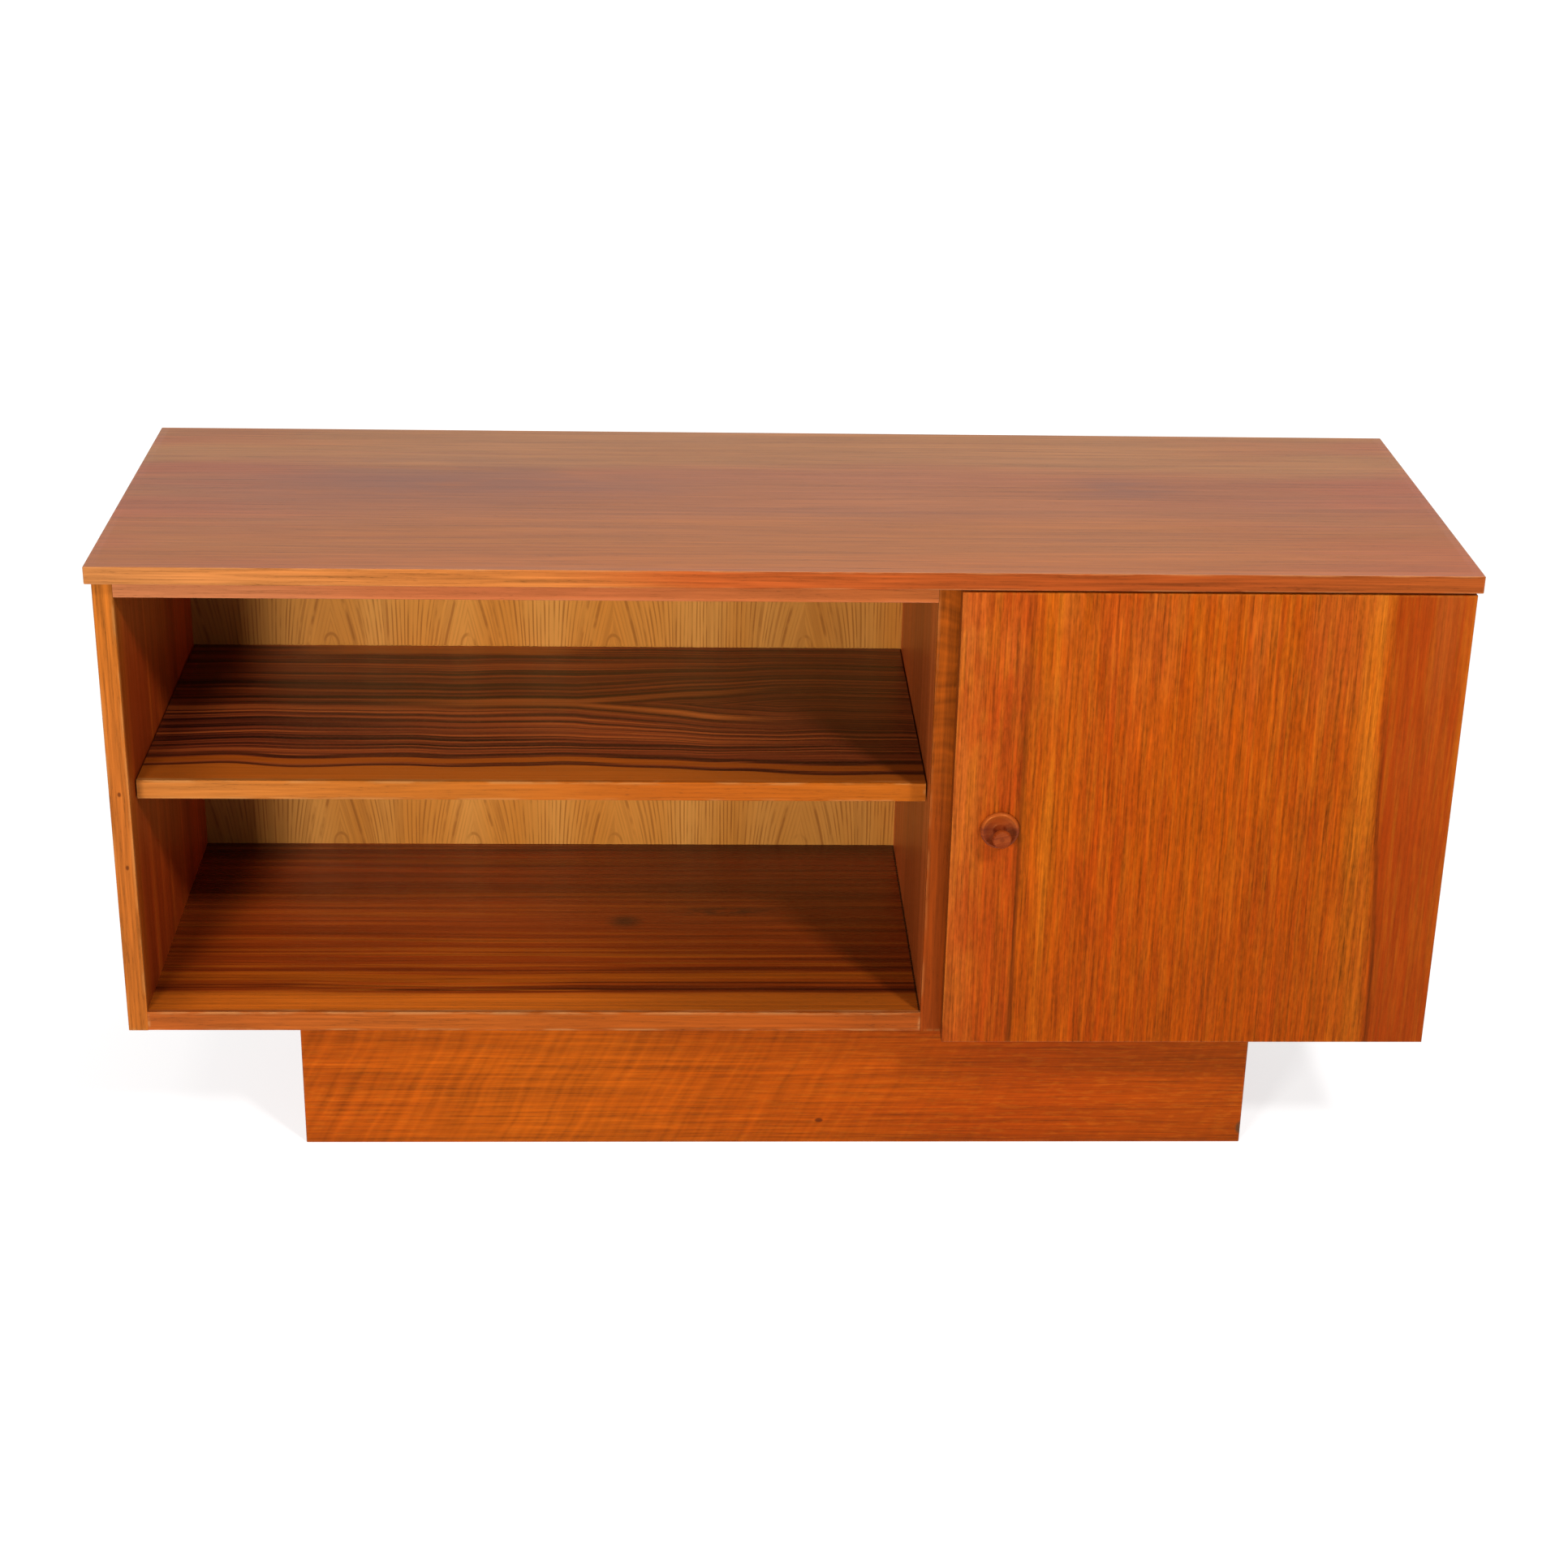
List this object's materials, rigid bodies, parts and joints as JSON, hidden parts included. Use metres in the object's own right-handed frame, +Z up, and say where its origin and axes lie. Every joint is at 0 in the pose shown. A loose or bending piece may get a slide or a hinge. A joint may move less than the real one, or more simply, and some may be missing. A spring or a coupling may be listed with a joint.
{
  "type": "tv stand with doors",
  "caption": "Low teak television cabinet on a recessed plinth: an open bay with a loose shelf beside a cupboard closed by an overlay door with a turned knob.",
  "frame": {"origin": "on the floor, at the middle of the overall width and depth", "axes": "+X to the right seen from the front, +Y to the back (the doors and the open bay face -Y), +Z up"},
  "size_m": [1.205, 0.428, 0.605],
  "materials": {
    "teak_veneer": "satin oiled veneer, teak",
    "teak_top": "satin lacquered veneer, teak, slightly faded",
    "teak_solid": "satin oiled solid teak",
    "dark_shelf": "satin veneer with dark stripes",
    "printed_back": "semi-matt printed hardboard, light wood grain",
    "carcass_inside": "satin veneer",
    "beech": "plain unfinished wood",
    "brass": "brushed",
    "steel": "zinc plated",
    "catch_plastic": "matt brown",
    "magnet": "dark ferrite"
  },
  "bodies": {
    "cabinet": {"top_board": "teak_top", "top_lipping_front": "teak_solid", "top_lipping_left": "teak_solid", "top_lipping_right": "teak_solid", "side_left_lipping": "teak_solid", "side_right_lipping": "teak_solid", "divider_lipping": "teak_solid", "bottom_left_lipping": "teak_solid", "bottom_right_lipping": "teak_solid", "subtop_left_lipping": "teak_solid", "subtop_right_lipping": "teak_solid", "side_left": "teak_veneer", "side_right": "teak_veneer", "plinth_front": "teak_veneer", "plinth_back": "teak_veneer", "plinth_left": "teak_veneer", "plinth_right": "teak_veneer", "divider": "carcass_inside", "bottom_left": "carcass_inside", "bottom_right": "carcass_inside", "subtop_left": "carcass_inside", "subtop_right": "carcass_inside", "back_panel": "printed_back", "carcass_dowels": "beech", "plinth_corner_blocks": "beech", "plinth_cleat_front": "beech", "plinth_cleat_back": "beech", "hinge_upper_side_leaf": "brass", "hinge_upper_pin": "brass", "hinge_lower_side_leaf": "brass", "hinge_lower_pin": "brass", "hinge_screws_side": "brass", "shelf_pins_left": "brass", "shelf_pins_right": "brass", "top_screws": "steel", "cleat_screws": "steel", "back_nails": "steel", "catch_screws": "steel", "catch_pole_plates": "steel", "catch_housing": "catch_plastic", "catch_magnet": "magnet"},
    "door": {"door_panel": "teak_veneer", "door_lipping_left": "teak_solid", "door_lipping_right": "teak_solid", "door_lipping_top": "teak_solid", "door_lipping_bottom": "teak_solid", "door_knob": "teak_solid", "knob_screw": "steel", "hinge_upper_door_leaf": "brass", "hinge_lower_door_leaf": "brass", "hinge_screws_door": "brass", "strike_plate": "steel", "strike_screw": "steel"},
    "loose_shelf": {"shelf_left": "dark_shelf", "shelf_left_lipping": "teak_solid"},
    "cupboard_shelf": {"shelf_right": "dark_shelf", "shelf_right_lipping": "teak_solid"}
  },
  "joints": [
    {"name": "door_hinge", "type": "hinge", "parent": "cabinet", "child": "door", "pos_m": [0.6005, -0.1733, 0.36575], "axis": [0, 0, 1], "range_deg": [0, 180]},
    {"name": "loose_shelf_slide", "type": "slide", "parent": "cabinet", "child": "loose_shelf", "axis": [0, -1, 0], "range_m": [0, 0.045]},
    {"name": "cupboard_shelf_slide", "type": "slide", "parent": "cabinet", "child": "cupboard_shelf", "axis": [0, -1, 0], "range_m": [0, 0.042]}
  ]
}
